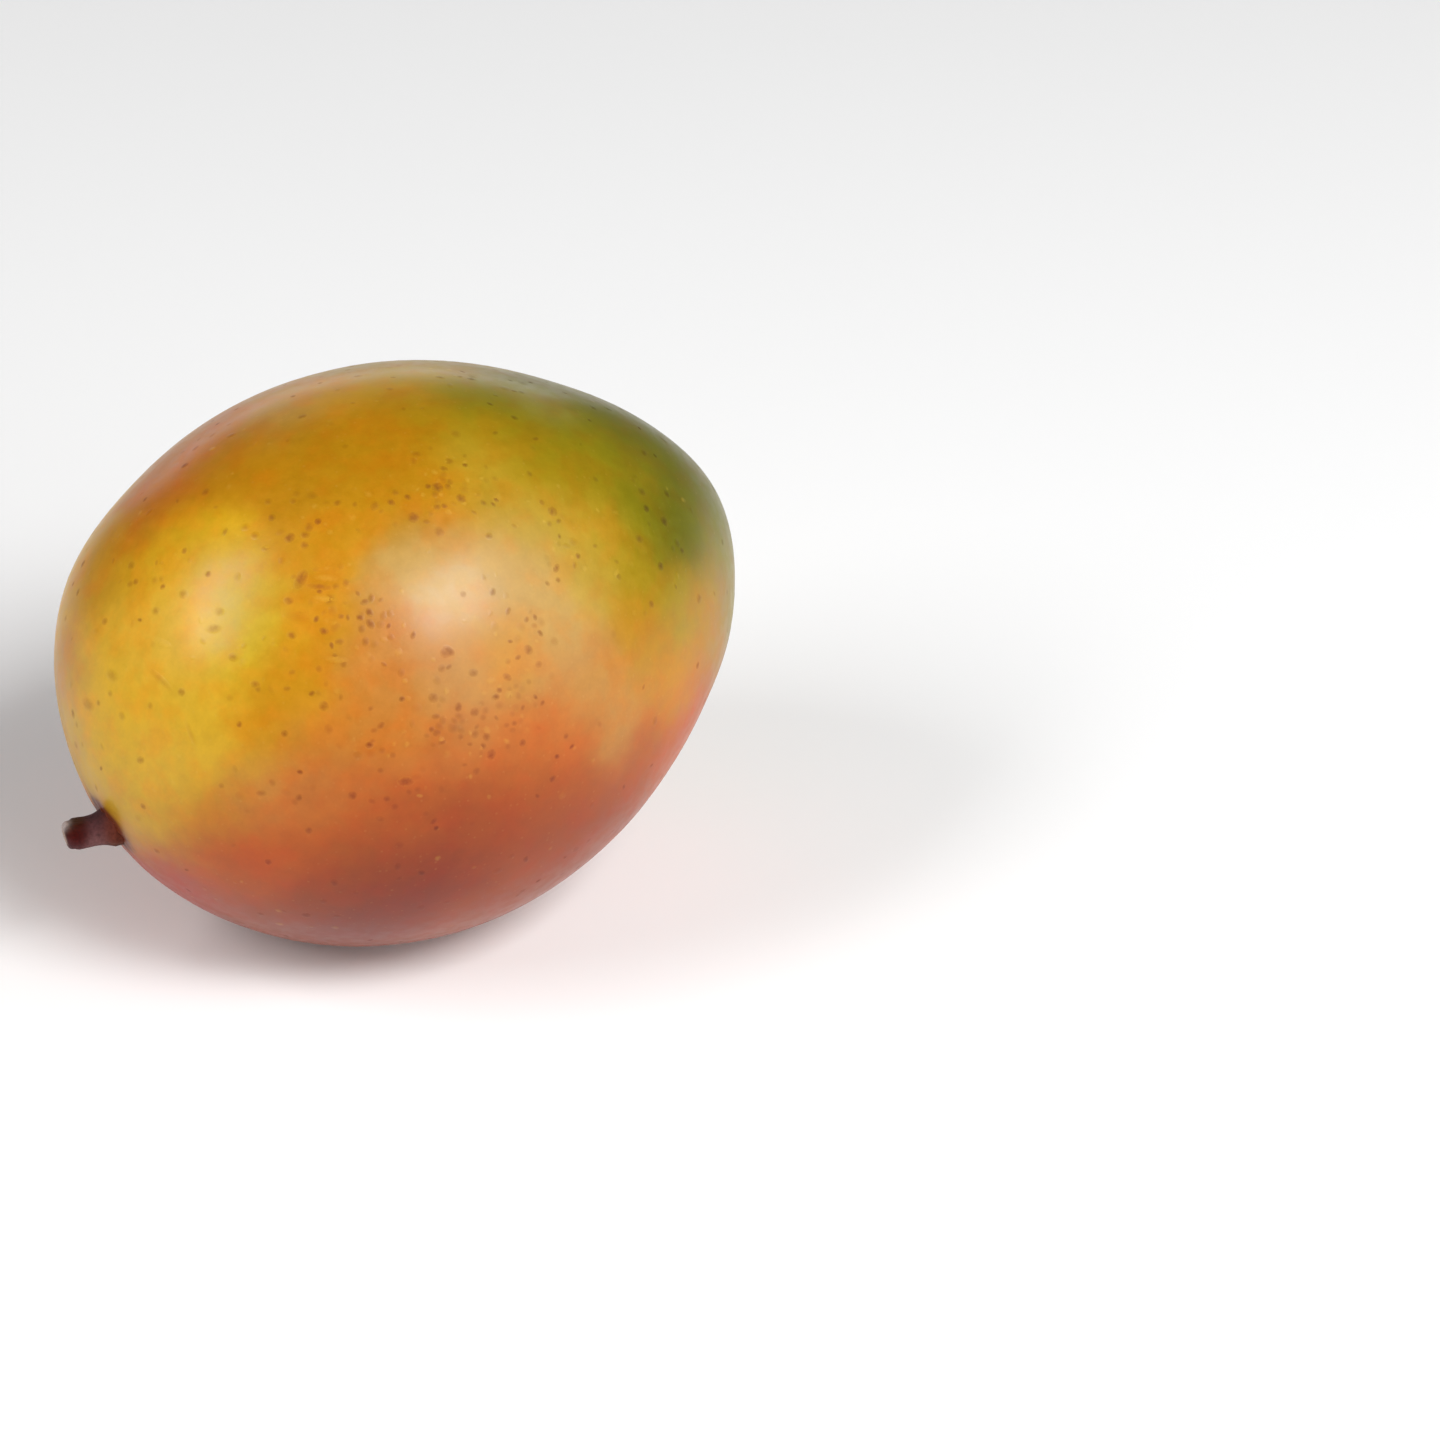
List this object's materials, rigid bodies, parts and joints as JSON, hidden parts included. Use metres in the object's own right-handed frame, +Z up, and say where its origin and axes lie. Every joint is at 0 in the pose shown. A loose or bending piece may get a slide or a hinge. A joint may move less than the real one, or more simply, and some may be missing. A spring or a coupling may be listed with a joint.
{
  "type": "mango",
  "caption": "Whole ripe mango lying on its side: a smooth plump body, a low beak near its apex, and the short woody stub of its stalk at the broad end.",
  "frame": {"origin": "below the middle of the whole piece, on the surface that it rests on", "axes": "+Z up; the fruit's length runs along X, with the stalk end towards -X and the apex towards +X; the belly, with the beak, faces -Y and down"},
  "size_m": [0.1238, 0.0926, 0.0925],
  "materials": {
    "skin": null,
    "stalk": "Dry, wrinkled, dark purplish brown bark, with a paler broken tip."
  },
  "bodies": {
    "root": {"fruit": "skin", "stem": "stalk"}
  },
  "joints": []
}
